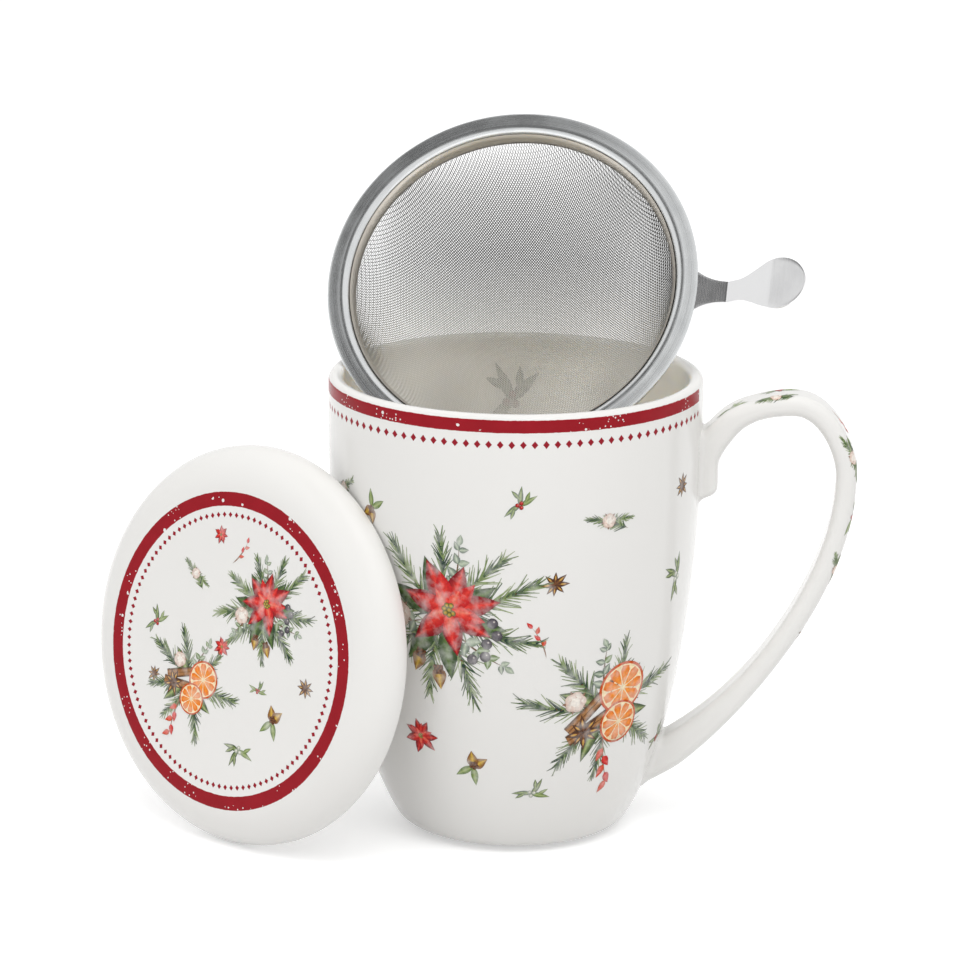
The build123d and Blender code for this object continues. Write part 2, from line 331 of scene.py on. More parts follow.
def borderMasks(net, spot, border):
    # the line and the diamonds, on the outside alone
    x, y, z = net.split(spot)
    angle, across = net.math("ARCTAN2", y, x), net.across(x, y)
    values = {label: border[label] * mm for label in ("lineMiddle", "lineWidth", "rowMiddle", "diamondLong")}
    values.update(angle=angle, run=across if border["flat"] else z, spot=spot,
                  rowCount=border["rowCount"], diamondWide=border["diamondWide"])
    drawn = net.use(inkBorder, values)
    if border["flat"]:
        outside = net.math("GREATER_THAN", z, border["face"] * mm)
    else:
        clear = net.math("GREATER_THAN", net.math("ABSOLUTE", angle), radians(border["gap"]))
        outside = net.times(clear, net.math("GREATER_THAN", across, border["skin"] * mm))
    line = net.times(drawn["line"], net.math("SUBTRACT", 1.0, drawn["wear"]))
    return net.times(line, outside), net.times(drawn["diamonds"], outside)


def porcelainMaterial(name, border=None):
    look = porcelainLook
    material, net, shader, spot = newMaterial(name)
    skin = net.use(glaze, {"spot": spot, "ripple": look["ripple"]})
    colour = net.mix(skin["tone"], look["clay"], look["clayShade"])
    net.wire(shader, {"Roughness": skin["sheen"], "Normal": skin["normal"], "Coat Weight": look["glazeCoat"],
                      "Specular IOR Level": look["gloss"], "Coat Roughness": look["coatBlur"]})
    if border and "insidePaintedLight" in border:
        # painted light: the cup's inside face is painted paler and warmer than the clay, standing in for
        # light inside the cup
        bowl = insideMask(net, spot, border)
        colour = net.mix(bowl, colour, border["insidePaintedLight"])
        net.wire(shader, {"Subsurface Weight": bowl, "Subsurface Radius": look["glowColour"],
                          "Subsurface Scale": border["glow"] * mm})     # daylight comes through the thin wall
    if border:
        spot = net.turned(spot, border["place"]) if "place" in border else spot
        line, diamonds = borderMasks(net, spot, border)
        red = net.mix(net.noise(spot, look["inkPools"]), look["ink"], look["inkDeep"])
        colour = net.mix(diamonds, net.mix(line, colour, red), look["diamondInk"])
        inked = net.math("MAXIMUM", line, diamonds)
        coat = net.scaled(inked, -look["glazeCoat"], look["glazeCoat"])
        net.wire(shader, {"Coat Weight": coat})
    net.wire(shader, {"Base Color": colour})
    return material


mugBorder = {"flat": False, "lineMiddle": 107.2, "lineWidth": 3.0, "rowMiddle": 103.0, "rowCount": 106.0,
             "diamondLong": 1.95, "diamondWide": 0.62, "gap": 10.6, "skin": 42.3,
             # the inside colour is painted light: paler and warmer than the outside clay
             "insidePaintedLight": (0.92, 0.885, 0.825, 1), "glow": 6.0,
             "innerFace": (0.0419, 0.0406), "fadeIn": (0.055, 0.088)}     # these two in metres
lidBorder = {"flat": True, "lineMiddle": 35.7, "lineWidth": 3.4, "rowMiddle": 32.0, "rowCount": 106.0,
             "diamondLong": 1.45, "diamondWide": 0.66, "face": 6.0,
             "place": lidPlace @ Matrix.Translation(Vector((-0.56, -1.14, 0)) * mm)}
mugPorcelain = porcelainMaterial("mugPorcelain", mugBorder)
lidPorcelain = porcelainMaterial("lidPorcelain", lidBorder)
plainPorcelain = porcelainMaterial("plainPorcelain")
print("porcelain made")


# steel

steelLook = {"rim": ((0.86, 0.87, 0.87, 1), (0.60, 0.62, 0.63, 1), 0.2),
             # the band's warm brown is a painted reflection of the cup's cream inside, mirrored in the band
             "band": ((0.82, 0.78, 0.71, 1), (0.64, 0.59, 0.52, 1), 0.35),
             "tab": ((0.86, 0.86, 0.86, 1), (0.78, 0.78, 0.79, 1), 0.1)}     # bright, dull, how rubbed
# the pale colour and the heights after it are a painted glow: lower wires are painted paler where the cup's
# white inside would light them
wireLook = {"bright": (0.2, 0.2, 0.195, 1), "dull": (0.145, 0.145, 0.14, 1), "pale": (0.7, 0.68, 0.63, 1),
            "paintedGlowFrom": (0.128, 0.104), "metal": 0.6, "patchScale": 60, "sheen": (0.2, 0.3)}
scratchForm = {"round": 2.0, "crosswise": 6000.0, "detail": 4, "strength": 0.12, "depth": 0.0001,
               "toneShare": 0.35, "blotchScale": 130, "blotchDetail": 5, "blotchTone": 0.65,
               "blotchSheen": (0.2, 0.06)}


def brushedGroup():
    # fine scratches that run round an axis, with blotches left by pressing
    form = scratchForm
    group, net, given, end = newGroup("brushed", {"spot": None, "rubbed": 0.3}, ("tone", "sheen", "normal"))
    x, y, z = net.split(given["spot"])
    polar = net.add("CombineXYZ", {"X": net.times(net.math("ARCTAN2", y, x), form["round"]),
                                   "Y": net.times(net.across(x, y), form["crosswise"]),
                                   "Z": net.times(z, form["crosswise"])})
    lines = net.noise(polar.outputs["Vector"], 1.0, form["detail"])
    blotch = net.noise(given["spot"], form["blotchScale"], form["blotchDetail"])
    net.wire(end, {"tone": net.scaled(lines, form["toneShare"], net.times(blotch, form["blotchTone"])),
                   "sheen": net.scaled(lines, given["rubbed"], net.scaled(blotch, *form["blotchSheen"])),
                   "normal": net.bump(lines, form["strength"], form["depth"])})
    return group


brushed = brushedGroup()


def steelMaterial(look):
    material, net, shader, spot = newMaterial(look + "Steel")
    bright, dull, rubbed = steelLook[look]
    worn = net.use(brushed, {"spot": net.turned(spot, infuserPlace), "rubbed": rubbed})
    net.wire(shader, {"Base Color": net.mix(worn["tone"], bright, dull), "Roughness": worn["sheen"],
                      "Normal": worn["normal"], "Metallic": 1.0})
    return material


def wireMaterial():
    look = wireLook
    material, net, shader, spot = newMaterial("meshWire")
    patches = net.noise(spot, look["patchScale"])
    # painted glow: the wires get paler lower down, standing in for light thrown on them by the cup's white
    # inside
    low = net.ramp(net.split(spot)["Z"], *look["paintedGlowFrom"])
    plain = net.mix(patches, look["bright"], look["dull"])
    net.wire(shader, {"Base Color": net.mix(low, plain, look["pale"]), "Metallic": look["metal"],
                      "Roughness": net.scaled(patches, *look["sheen"])})
    return material


rimSteel, bandSteel, tabSteel = (steelMaterial(look) for look in ("rim", "band", "tab"))
meshWire = wireMaterial()
print("steel made")


# mug body

def sweepToFlat(radius, base, inset):
    # arc of a round between the wall's curve and a flat at the base height, from the wall down
    def under(height):
        incline = wallSlope(height)
        return height + radius * incline / math.hypot(incline, 1) < base + radius

    low = lastTrue(under, base, base + 2 * radius, 40)
    incline = wallSlope(low)
    centre = (wallRadius(low, inset) - radius / math.hypot(incline, 1), base + radius)
    return low, arcPoints(centre, (radius, radius), math.degrees(math.atan2(-incline, 1)), -90, 12)


def buildMugBody():
    form, wall, count = mugForm, mugForm["wall"], mugForm["wallSteps"]
    lip = wall / 2
    foot, step = form["footRadius"], form["footHeight"]
    bore = foot - form["footWidth"]
    top = form["height"] - form["bandHeight"]
    heelTop, heel = sweepToFlat(form["heel"], step, 0)
    floorTop, corner = sweepToFlat(form["floorCorner"], form["floor"], wall)
    points = [(0, step), (bore, step), (bore, 0), (foot, 0), (foot, step)] + heel[::-1]
    for i in range(1, count + 1):
        height = heelTop + (top - heelTop) * (i / count) ** 1.15     # closer together near the heel
        points.append((wallRadius(height), height))
    points += arcPoints((form["rimRadius"] - lip, form["height"] - lip), (lip, lip), 0, 180, 16)
    for i in range(count):
        height = top + (floorTop - top) * (i / count) ** 0.87
        points.append((wallRadius(height, wall), height))
    points += corner + [(0, form["floor"])]
    bm = turnProfile(points, form["steps"], [(1, 0.4, 3), (2, 0.35, 3), (3, 0.35, 3), (4, 0.3, 3)])
    finishPiece(bm, "mugBody", mugPorcelain, "mug", 60, ["mug_body"])


buildMugBody()
print("mug body made")


# handle

handleForm = {"thickness": 4.9, "width": 10.6, "edge": 2.156, "rootThickness": 7.6, "rootShare": 0.14,
              "rootStand": 3.9, "rootDrop": 28.6, "rootFootSlope": 23.0, "bendDrop": 21.5,
              "throatOut": 5.7, "throatDrop": 11.2, "throatAngle": 48.0, "crownOut": 21.6, "crownDrop": 3.2,
              "reachOut": 36.3, "reachHeight": 87.2, "kneeOut": 20.8, "kneeHeight": 48.15, "kneeAngle": 58.0,
              "tailOut": -5.1, "tailHeight": 19.3, "tailAngle": 37.0, "mergeAngle": 28.0,
              "tailThickness": 9.4, "growthStart": 0.66, "embed": 10.5,
              "fillet": 1.5, "filletFade": 0.3, "capRound": 1.3, "buried": 1.2, "leastEdge": 0.01,
              "capSteps": 20, "riseSteps": 22,
              "runSteps": ((0.0, 0.16, 70), (0.16, 0.64, 90), (0.8, 0.2, 70))}     # start, share, count


def handleLine():
    form, rim, height = handleForm, mugForm["rimRadius"], mugForm["height"]
    half = form["thickness"] / 2

    def slope(angle):
        return Vector((-cos(radians(angle)), -sin(radians(angle))))

    foot = Vector((rim + form["rootStand"] - form["rootThickness"] / 2, height - form["rootDrop"]))
    bend = Vector((foot.x, height - form["bendDrop"]))
    tail = Vector((rim + form["tailOut"], form["tailHeight"]))
    knots = [bend, Vector((rim + form["throatOut"], height - form["throatDrop"])),
             Vector((rim + form["crownOut"], height - form["crownDrop"] - half)),
             Vector((rim + form["reachOut"] - half, form["reachHeight"])),
             Vector((rim + form["kneeOut"], form["kneeHeight"])), tail,
             tail + slope(form["mergeAngle"]) * form["embed"]]
    ways = [Vector((0, 1)), -slope(form["throatAngle"]), Vector((1, 0)), Vector((0, -1)),
            slope(form["kneeAngle"]), slope(form["tailAngle"]), slope(form["mergeAngle"])]
    spans = [(b - a).length for a, b in zip(knots, knots[1:])]
    total = sum(spans)

    def at(share):
        run, number = share * total, 0
        while number < len(spans) - 1 and run > spans[number]:
            run -= spans[number]
            number += 1
        length = spans[number]
        t = min(run / length, 1.0)
        a, b = knots[number:number + 2]
        leave, arrive = (way * length for way in ways[number:number + 2])
        way = (a * (6 * t ** 2 - 6 * t) + leave * (3 * t ** 2 - 4 * t + 1)
               + b * (-6 * t ** 2 + 6 * t) + arrive * (3 * t ** 2 - 2 * t))
        return hermite(a, b, leave, arrive, t), way.normalized()

    return foot, bend, at, total


handleFoot, handleBend, handleAt, handleRun = handleLine()


def strapThickness(share):
    # thicker towards the root and towards the tail
    form = handleForm
    atRoot = max(0.0, 1 - share / form["rootShare"])
    atTail = max(0.0, share - form["growthStart"]) / (1 - form["growthStart"])
    return (form["thickness"] + (form["rootThickness"] - form["thickness"]) * atRoot
            + (form["tailThickness"] - form["thickness"]) * atTail ** 2)


def wallGap(point):
    # distance from the mug's outside, and the way out from it
    radial = math.hypot(point.x, point.y)
    incline = wallSlope(point.z)
    shrink = 1 / sqrt(1 + incline * incline)
    way = Vector((point.x / radial * shrink, point.y / radial * shrink, -incline * shrink))
    return (radial - wallRadius(point.z)) * shrink, way


def blendToWall(point, normal):
    # lifts the skin along its normal so that it runs out on the wall in a small round
    gap, way = wallGap(point)
    reach, buried = handleForm["fillet"], handleForm["buried"]
    if gap < reach:
        depth = 1 - max(gap, 0.0) / reach
        along = normal - way * normal.dot(way)
        along = along.normalized() * min(1.0, along.length / handleForm["filletFade"])
        point = point + along * (reach * (1 - sqrt(max(0.0, 1 - depth * depth))))
        gap, way = wallGap(point)
    if gap < -buried:
        point = point + way * (-buried - gap)
    return point


def sideShares(start, end):
    # where along a side the points go: crowded where the side runs into the wall
    turned = wallGap(start)[0] < wallGap(end)[0]
    if turned:
        start, end = end, start

    def crossing(level):
        if wallGap(end)[0] > level:
            return 1.0
        if wallGap(start)[0] < level:
            return 0.0
        return lastTrue(lambda share: wallGap(start.lerp(end, share))[0] > level, 0.0, 1.0, 24)

    begin = min(max(crossing(handleForm["fillet"]), 0.1), 0.7)
    finish = max(min(max(crossing(0.0), 0.2), 0.9), begin + 0.1)
    shares = [begin * i / 4 for i in range(1, 5)]
    shares += [begin + (finish - begin) * sin(math.pi / 2 * i / 12) for i in range(1, 13)]
    shares += [finish + (1 - finish) * i / 3 for i in range(1, 3)]
    return [1 - share for share in shares[::-1]] if turned else shares


def strapRing(point, way, thick, inset):
    # rounded outline of the strap in space, as (place, normal), from its outer face to its inner one
    form = handleForm
    through = Vector((way.y, -way.x))
    halfWide, halfThick = form["width"] / 2 - inset, thick / 2 - inset
    edge = max(min(form["edge"] - inset, halfThick * 0.96, halfWide * 0.96), form["leastEdge"])

    def spot(across, depth):
        return Vector((point.x + through.x * depth, across, point.y + through.y * depth))

    def lean(sideways, outward):
        return Vector((through.x * outward, sideways, through.y * outward))

    def corner(hand, face, i):
        # point i of 7 round an edge: away from the outer face, or on to the inner one
        angle = radians(90 * i / 7)
        side, flat = sin(angle), cos(angle)
        if face < 0:
            side, flat = flat, side
        return (spot(hand * (halfWide - edge + edge * side), face * (halfThick - edge + edge * flat)),
                lean(hand * side, face * flat))

    ring = []
    for hand in (1, -1):
        half = [(spot(hand * (halfWide - edge) * i / 6, halfThick), lean(0, 1)) for i in range(7)]
        half += [corner(hand, 1, i) for i in range(1, 8)]
        start, end = spot(hand * halfWide, halfThick - edge), spot(hand * halfWide, edge - halfThick)
        half += [(start.lerp(end, share), lean(hand, 0)) for share in sideShares(start, end)]
        half += [corner(hand, -1, i) for i in range(8)]
        half += [(spot(hand * (halfWide - edge) * (1 - i / 6), -halfThick), lean(0, -1)) for i in range(1, 7)]
        ring += half if hand == 1 else half[-2:0:-1]
    return ring


def handleStations():
    # (middle, way, thickness, inset): the foot's rounded cap, the rise to the bend, then the strap
    form, foot, cap, thick = handleForm, handleFoot, handleForm["capRound"], handleForm["rootThickness"]
    slope = radians(form["rootFootSlope"])
    footWay = Vector((-sin(slope), cos(slope)))
    deepest = min(thick, form["width"]) / 2 * 0.97
    stations = []
    for i in range(form["capSteps"], 0, -1):
        share = i / form["capSteps"]
        inset, back = cap + (deepest - cap) * (share - 0.5) * 2, 0.0
        if share <= 0.5:
            inset = cap * (1 - cos(math.pi / 2 * share * 2))
            back = cap - sqrt(max(0.0, 2 * cap * inset - inset ** 2))
        stations.append((foot + Vector((0, back / footWay.y)), footWay, thick / footWay.y, inset))
    start = foot + Vector((0, cap / footWay.y))
    for i in range(form["riseSteps"]):
        t = i / form["riseSteps"]
        ease = 1 - (1 - t) ** 2
        way = Vector((footWay.x * (1 - ease), footWay.y * (1 - ease) + ease)).normalized()
        stations.append((start.lerp(handleBend, t), way, thick / way.y, 0.0))
    shares = [begin + part * i / count for begin, part, count in form["runSteps"] for i in range(count)]
    return stations + [(*handleAt(share), strapThickness(share), 0.0) for share in shares + [1.0]]


def buildHandle():
    bm = bmesh.new()
    rings = []
    for point, way, thick, inset in handleStations():
        ring = []
        down = min(1.0, inset / handleForm["capRound"])
        for place, normal in strapRing(point, way, thick, inset):
            normal = (normal * (1 - down) - Vector((way.x, 0, way.y)) * down).normalized()
            ring.append(bm.verts.new(blendToWall(place, normal) * mm))
        rings.append(ring)
    skinRings(bm, rings)
    finishPiece(bm, "mugHandle", plainPorcelain, "mug", 32, ["mug_handle"])


buildHandle()
print("handle made")


# lid

def buildLid():
    form, height, flat, edge = lidForm, lidForm["height"], lidForm["flatRadius"], lidForm["edgeHeight"]
    ringOuter, ringLow = form["ringOuter"], -form["ringDepth"]
    ringInner, underTop = ringOuter - form["ringWidth"], height - form["wall"]
    points = [(0, height), (flat * 0.8, height)]
    points += arcPoints((flat, edge), (form["radius"] - flat, height - edge), 90, 0, 28)
    rimNumber = len(points)
    points += [(form["radius"], 0), (ringOuter, 0), (ringOuter, ringLow), (ringInner, ringLow),
               (ringInner, underTop), (0, underTop)]
    rounds = [(0.6, 4), (0.5, 3), (0.9, 4), (0.9, 4), (2.5, 6)]     # from the rim inwards
    bm = turnProfile(points, form["steps"], [(rimNumber + i, *rounding) for i, rounding in enumerate(rounds)])
    finishPiece(bm, "lidTop", lidPorcelain, "lid_piece", 60, ["lid"], lidPlace)


buildLid()
print("lid made")


# infuser

def buildInfuserRim():
    form = infuserForm
    sheet, radius, wall, roll = form["sheet"], form["flangeRadius"], form["wallRadius"], form["roll"]
    inner = radius - form["flangeWidth"]
    fall, crown, deep = form["fall"], form["crown"], form["wallDepth"]
    points = [(radius, -form["lip"]), (radius, -fall), (radius - 1.1, -fall * 0.5),
              (radius - 2.4, -fall * 0.1), (inner + 0.2, crown * 0.9),
              (wall, crown), (wall, -deep), (wall + sheet, -deep),
              (wall + sheet, crown - sheet), (inner, crown * 0.8 - sheet),
              (radius - sheet, -sheet - fall * 0.6), (radius - sheet, -form["lip"])]
    rounds = [(0, 0.12, 2), (1, 0.3, 5), (2, 0.5, 3), (3, 0.6, 3), (4, 0.3, 3), (5, roll, 14),
              (8, roll - sheet, 10)]
    bm = turnProfile(points, form["steps"], rounds, closed=True)
    finishPiece(bm, "infuserRim", rimSteel, "infuser", 50, ["infuser_rim"], infuserPlace)


def buildInnerBand():
    form = infuserForm
    inner, outer, top = form["bandRadius"], form["bandRadius"] + form["bandSheet"], -form["bandTop"]
    deep = -form["wallDepth"]
    points = [(outer, top), (inner, top - form["bandSlope"]), (inner, deep), (outer, deep)]
    bm = turnProfile(points, form["steps"], [(1, 1.0, 6), (2, 0.3, 3)], closed=True)
    finishPiece(bm, "infuserBand", bandSteel, "infuser", 50, ["infuser_inner_band"],
                infuserPlace)


tabForm = {"rootWidth": 9.4, "neckWidth": 5.2, "neckReach": 7.3, "neckEnd": 9.6, "lobeReach": 19.8,
           "lobeRadius": 6.4, "secondBend": 17.6, "firstAngle": 30.5, "secondAngle": 15.0, "bendSoft": 0.13,
           "sheet": 0.8, "lap": 2.6, "flare": 0.7, "edge": 0.16, "leastHalf": 0.25, "tipGap": 0.02}
tabTip = tabForm["lobeReach"] + tabForm["lobeRadius"]


def tabHalfWidth(reach):
    form = tabForm
    root, neck, lobe = form["rootWidth"] / 2, form["neckWidth"] / 2, form["lobeRadius"]
    if reach < 0:
        return root
    if reach < form["neckReach"]:
        return hermite(root, neck, -form["flare"] * form["neckReach"], 0.0, reach / form["neckReach"])
    if reach < form["lobeReach"]:
        t = max(0.0, reach - form["neckEnd"]) / (form["lobeReach"] - form["neckEnd"])
        return neck + (lobe - neck) * (3 * t ** 2 - 2 * t ** 3)
    return sqrt(max(0.0, lobe ** 2 - (reach - form["lobeReach"]) ** 2))


def tabHeight(reach):
    # height of the tab's upper face, with a small sweep at each bend
    form, soft = tabForm, tabForm["bendSoft"]

    def eased(value):
        return soft * math.log1p(math.exp(min(value / soft, 60))) if value < 20 * soft else value

    first = math.tan(radians(form["firstAngle"]))
    second = math.tan(radians(form["firstAngle"] - form["secondAngle"]))
    return first * eased(reach - form["neckReach"]) - (first - second) * eased(reach - form["secondBend"])


def buildTab():
    form, flange, sheet = tabForm, infuserForm["flangeRadius"], tabForm["sheet"]
    reaches = [-form["lap"], -form["lap"] / 2] + [tabTip * i / 90 for i in range(76)]
    lastFlat, end = reaches[-1], tabTip - form["tipGap"]
    reaches += [lastFlat + (end - lastFlat) * sin(math.pi / 2 * i / 14) for i in range(1, 15)]
    bm = bmesh.new()
    bmesh.ops.create_grid(bm, x_segments=len(reaches) - 1, y_segments=10, size=1)
    for vert in bm.verts:
        reach = reaches[round((vert.co.x + 1) / 2 * (len(reaches) - 1))]
        half = max(tabHalfWidth(reach), form["leastHalf"])
        height = tabHeight(reach) - infuserForm["sheet"] - sheet / 2
        vert.co = Vector((flange + reach, vert.co.y * half, height)) * mm
    bmesh.ops.recalc_face_normals(bm, faces=bm.faces)
    bmesh.ops.solidify(bm, geom=bm.faces[:], thickness=sheet * mm)
    bm.normal_update()
    rim = [e for e in bm.edges if e.is_manifold and e.calc_face_angle() > radians(60)]
    bmesh.ops.bevel(bm, geom=rim, offset=form["edge"] * mm, offset_type="OFFSET", segments=3, profile=0.5,
                    affect="EDGES", material=-1, clamp_overlap=True)
    low = min(v.co.z for v in bm.verts if v.co.x < (flange + 2) * mm)
    shift = (-infuserForm["sheet"] - sheet) * mm - low     # its root lies against the flange's underside
    bmesh.ops.translate(bm, verts=bm.verts, vec=(0, 0, shift))
    finishPiece(bm, "infuserTab", tabSteel, "infuser", 35, ["infuser_tab"], infuserPlace)


meshForm = {"pitch": 0.45, "wire": 0.231, "sides": 4, "sway": 0.42, "turn": -40.0, "skirt": 0.225,
            "inset": 0.2}


def bowlAt(x, y):
    # height of the bowl's cloth in the infuser's own frame, and the way out of it
    form, inset = infuserForm, meshForm["inset"]
    skirt = form["bandRadius"] + form["sheet"] + meshForm["skirt"]
    bowl = (skirt ** 2 + form["bowlDepth"] ** 2) / (2 * form["bowlDepth"]) - inset
    drop = sqrt(bowl * bowl - (x * x + y * y))
    return bowl - form["bowlDepth"] - form["wallDepth"] + inset - drop, Vector((x, y, -drop)) / bowl


def buildWires(name, lengthwise):
    # one set of parallel wires, waved over and under the other set
    form, pitch, wire = meshForm, meshForm["pitch"], meshForm["wire"]
    angles = [math.tau * k / form["sides"] for k in range(form["sides"])]
    reach = infuserForm["bandRadius"] + infuserForm["sheet"]
    count = int(reach / pitch)
    bm = bmesh.new()
    for number in range(-count, count + 1):
        fixed = number * pitch
        half = sqrt(max(0.0, reach ** 2 - fixed ** 2))
        steps = int(half / pitch)
        if steps < 2:
            continue
        rings = []
        for step in range(-steps - 1, steps + 2):
            along = max(-half, min(half, step * pitch))
            x, y = (along, fixed) if lengthwise else (fixed, along)
            height, normal = bowlAt(x, y)
            side = 1 if (number + step + (0 if lengthwise else 1)) % 2 else -1
            middle = Vector((x, y, height)) + normal * (side * wire * form["sway"])
            run = Vector((1, 0, 0)) if lengthwise else Vector((0, 1, 0))
            beside = normal.cross((run - normal * run.dot(normal)).normalized())
            offsets = [normal * cos(angle) + beside * sin(angle) for angle in angles]
            rings.append([bm.verts.new((middle + offset * (wire / 2)) * mm) for offset in offsets])
        skinRings(bm, rings)
    print(name, len(bm.faces), "faces")
    place = infuserPlace @ Matrix.Rotation(radians(form["turn"]), 4, "Z")
    wires = finishPiece(bm, name, meshWire, "infuser", 80, ["infuser_mesh"], place)
    wires.visible_shadow = False     # the cloth's own shade would grey the cup's inside


buildInfuserRim()
buildInnerBand()
buildTab()
buildWires("meshWarpWires", True)
buildWires("meshWeftWires", False)
print("infuser made")


# printed sprays: thin shapes laid on the glaze, drawn flat and then bent to it

paintForm = {"lift": 0.03, "step": 0.007, "scatter": 0.8, "thickness": 0.03}
inkValues = {"firDark": (44, 62, 54), "fir": (72, 92, 66), "firLight": (122, 140, 92),
             "firPale": (158, 170, 128), "leaf": (98, 122, 66), "leafPale": (164, 178, 116),
             "leafDark": (58, 78, 50), "silver": (142, 156, 138), "silverPale": (190, 200, 178),
             "silverDark": (92, 108, 96), "red": (190, 32, 36), "redDeep": (120, 18, 30),
             "redBright": (224, 66, 56), "redPale": (232, 122, 100), "orange": (226, 108, 30),
             "orangeBright": (244, 158, 62), "orangeDeep": (196, 76, 20), "pith": (244, 222, 180),
             "brown": (126, 80, 48), "brownLight": (178, 126, 78), "brownDark": (70, 48, 38),
             "slate": (66, 62, 68), "slatePale": (118, 112, 118), "cream": (240, 232, 222),
             "blush": (214, 188, 174), "taupe": (160, 134, 120), "gold": (214, 176, 72)}
inks = {name: [((v / 255 + 0.055) / 1.055) ** 2.4 for v in values] for name, values in inkValues.items()}


def blendInk(first, second, share):
    share = max(0.0, min(1.0, share))
    return [a + (b - a) * share for a, b in zip(inks[first], inks[second])]


def turnBy(degrees):
    return complex(cos(radians(degrees)), sin(radians(degrees)))


def stalkAt(at, way, length, bend, s):
    return at + way * length * (s + 1j * bend * s * s)


def outward(at, way, length, angle, share):
    # a place out along a turned way, and that way
    heading = way * turnBy(angle)
    return at + heading * length * share, heading


def patch(sheet, columns, rows, place, tint, level):
    # one flat shape: s runs along it from 0 to 1, t across it from -1 to 1
    made = bmesh.ops.create_grid(sheet["bm"], x_segments=columns, y_segments=rows, size=1)["verts"]
    height = paintForm["lift"] + paintForm["step"] * (level + random.random() * paintForm["scatter"])
    origin = sheet["origin"]
    for vert in made:
        s, t = (vert.co.x + 1) / 2, vert.co.y
        spot = place(s, t)
        vert.co = (origin.real + spot.real * sheet["stretch"], origin.imag + spot.imag, height)
        vert[sheet["tint"]] = (*(part * sheet["strength"] for part in tint(s, t)), 1)


def drawDisc(sheet, at, radius, middle, edge, level, sides=14, lean=0j):
    def place(s, t):
        return at + turnBy(360 * s) * radius * (t + 1) / 2 + lean * radius * (1 - (t + 1) / 2)
    patch(sheet, sides, 2, place, lambda s, t: blendInk(middle, edge, (t + 1) / 2), level)


def drawBerry(sheet, at, radius, level, middle, edge):
    drawDisc(sheet, at, radius, middle, edge, level, lean=0.25 + 0.3j)
    drawDisc(sheet, at + radius * (0.28 + 0.34j), radius * 0.24, "cream", middle, level + 1.2, sides=6)


def drawLeaf(sheet, at, way, length, width, middle, edge, level, bend=0.0, blunt=0.9, columns=7):
    # leaf or petal from its stalk at a spot, pointing along a way
    def place(s, t):
        half = width / 2 * sin(math.pi * min(s ** blunt, 1.0)) * (1 - 0.15 * s)
        return at + way * (length * s + 1j * (half * t + bend * length * s * s))

    def tint(s, t):
        vein = 0.35 if abs(t) < 0.1 else 0.0
        return blendInk(middle, edge, abs(t) * 0.9 + 0.35 * abs(s - 0.45) - vein + 0.25)
    patch(sheet, columns, 4, place, tint, level)


def drawFir(sheet, at, way, length, bend, count, reach=0.3, pale=0.0):
    # twig with needles on both sides, longest near its middle
    drawLeaf(sheet, at, way, length, length * 0.035 + 0.2, "brown", "brownDark", 0, bend)
    for i in range(count):
        s = 0.06 + 0.94 * (i + random.random()) / count
        root = stalkAt(at, way, length, bend, s)
        side = 1 if i % 2 else -1
        spread = side * random.uniform(24, 52) * (1.15 - 0.75 * s)
        heading = way * turnBy(spread + math.degrees(2 * bend * s))
        needle = length * reach * (0.75 + 0.5 * random.random()) * (1 - 0.35 * abs(2 * s - 0.8))
        curl = random.uniform(-0.18, 0.18)
        tone = random.random() + pale
        start = "firDark" if tone < 0.35 else "fir" if tone < 0.75 else "firLight"
        end = "fir" if tone < 0.4 else "firLight" if tone < 0.9 else "firPale"
        wide = random.uniform(0.16, 0.27) * (0.6 + length / 32)

        def place(s, t):
            return root + heading * (needle * s + 1j * (wide * t * (1 - 0.75 * s) + curl * needle * s * s))
        patch(sheet, 2, 1, place, lambda s, t: blendInk(start, end, s), 1 + random.random() * 3)


def drawSilverTwig(sheet, at, way, length, level, bend=0.2):
    # round grey-green leaves in pairs on a thin stalk
    drawLeaf(sheet, at, way, length, 0.45, "silverDark", "brown", level, bend)
    for i in range(4):
        s = 0.25 + 0.68 * i / 3
        root = stalkAt(at, way, length, bend, s)
        size = length * (0.3 - 0.14 * s)
        for side in (1, -1):
            drawLeaf(sheet, root, way * turnBy(side * random.uniform(38, 66)), size, size * 0.66,
                     "silverPale", random.choice(("silver", "leaf", "silverDark")),
                     level + 1 + i * 0.4, blunt=0.75)
    drawLeaf(sheet, stalkAt(at, way, length, bend, 1), way * turnBy(12), length * 0.2, length * 0.12,
             "silverPale", "silver", level + 3)


def drawStar(sheet, at, way, radius, level):
    # red star flower: three rings of pointed petals about small golden beads
    for ring, count, share, tone in ((0, 7, 1.0, "redDeep"), (1, 6, 0.74, "red"), (2, 5, 0.46, "redBright")):
        for i in range(count):
            heading = way * turnBy(360 * i / count + 23 * ring + random.uniform(-7, 7))
            size = radius * share * random.uniform(0.9, 1.05)
            drawLeaf(sheet, at + heading * radius * 0.05, heading, size, size * 0.5,
                     "redBright" if ring < 2 else "redPale", tone, level + ring * 2.2 + (i % 2),
                     bend=random.uniform(-0.1, 0.1), blunt=0.82, columns=8)
    for i in range(7):
        bead = at + way * turnBy(51 * i) * radius * (0.1 if i else 0.0)
        drawDisc(sheet, bead, radius * 0.062, "gold", "leafDark", level + 8, sides=8)


def drawSlice(sheet, at, way, radius, level):
    # round slice of orange
    drawDisc(sheet, at, radius, "orange", "orangeDeep", level, sides=28)
    drawDisc(sheet, at, radius * 0.9, "pith", "pith", level + 1, sides=28)
    for i in range(9):
        heading = way * turnBy(40 * i)

        def place(s, t):
            along = radius * (0.1 + 0.74 * s)
            half = along * 0.3 * t * min(1.0, 3.5 * s + 0.12) * (1 - 0.45 * max(0.0, s - 0.85) / 0.15)
            return at + heading * complex(along, half)

        def tint(s, t):
            return blendInk("orangeBright", "orange", s * 0.6 + abs(t) * 0.4)
        patch(sheet, 4, 2, place, tint, level + 2)


